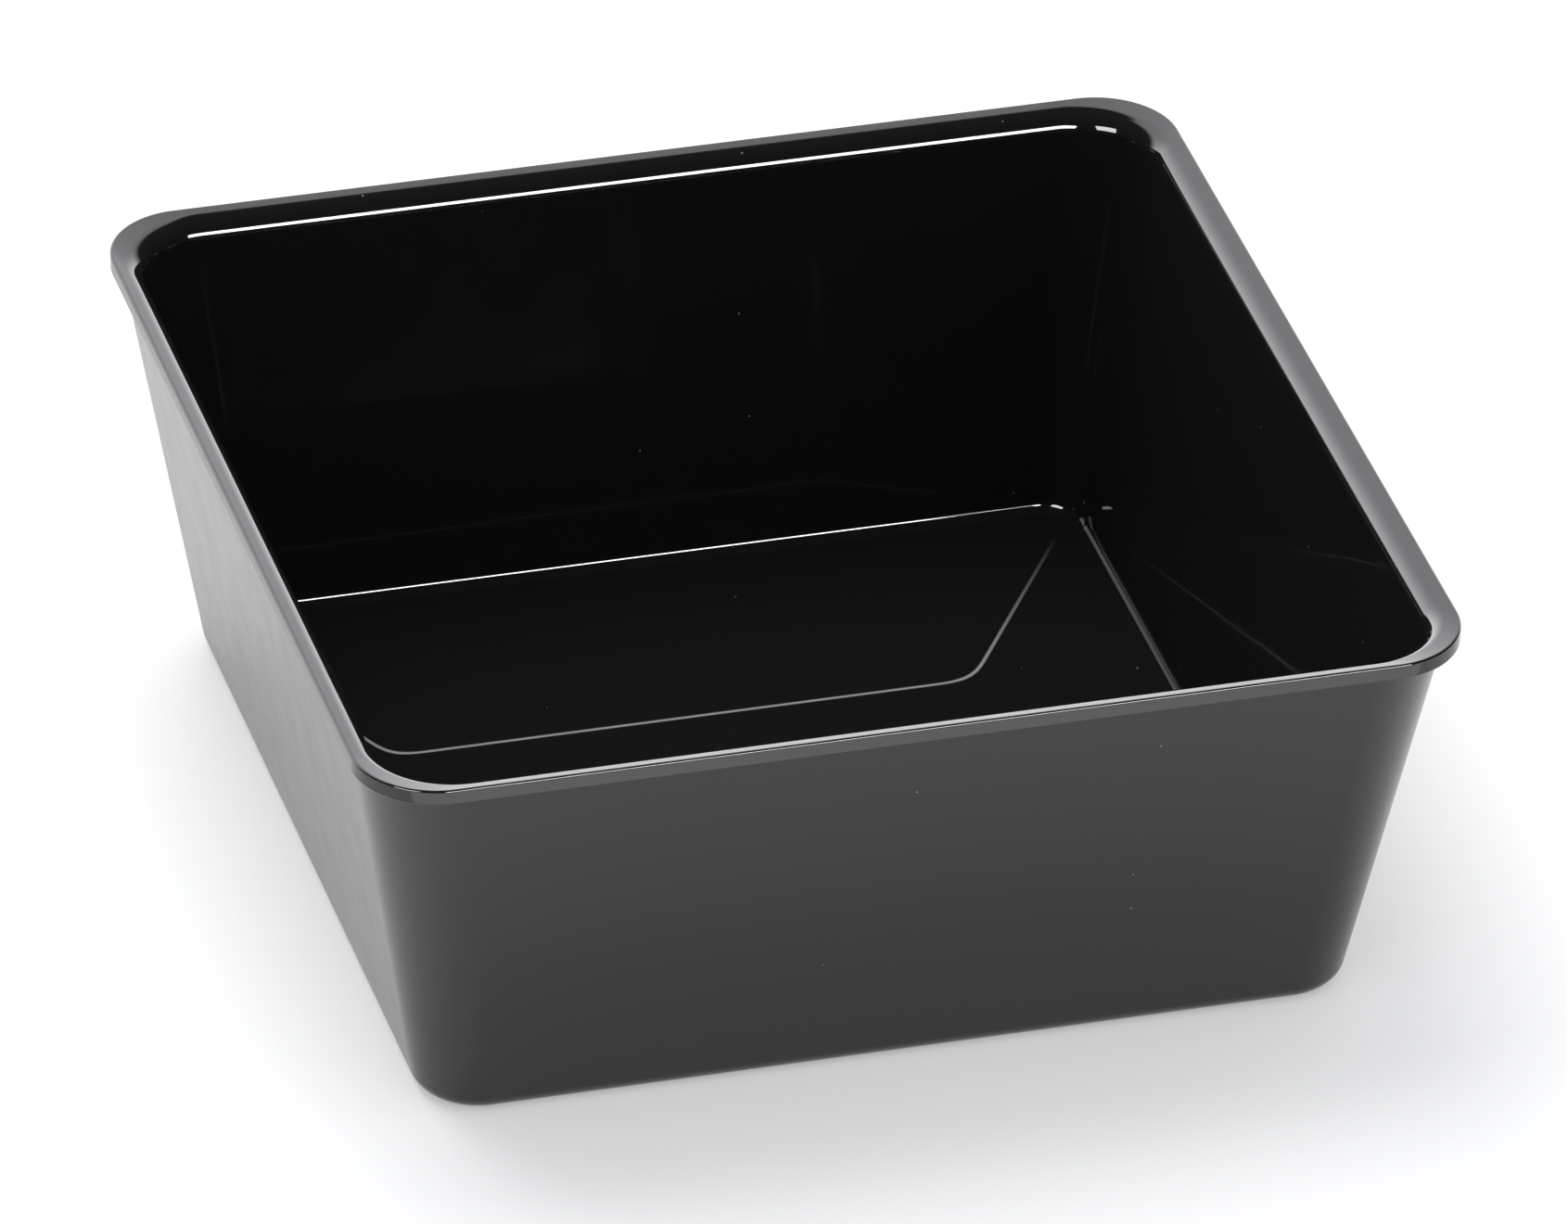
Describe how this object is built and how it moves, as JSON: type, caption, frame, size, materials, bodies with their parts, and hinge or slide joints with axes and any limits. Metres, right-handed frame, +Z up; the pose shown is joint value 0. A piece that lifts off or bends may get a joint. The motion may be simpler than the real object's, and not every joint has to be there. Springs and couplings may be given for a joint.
{
  "type": "display tray",
  "caption": "Deep square open-top display tray in glossy black plastic, with sloping walls, rounded corners and a turned-out rim.",
  "frame": {"origin": "centre of the flat underside that the tray stands on", "axes": "+Z up, +X along the width, +Y along the depth"},
  "size_m": [0.2, 0.2, 0.078],
  "materials": {
    "black_plastic": "gloss"
  },
  "bodies": {
    "root": {"tray_shell": "black_plastic"}
  },
  "joints": []
}
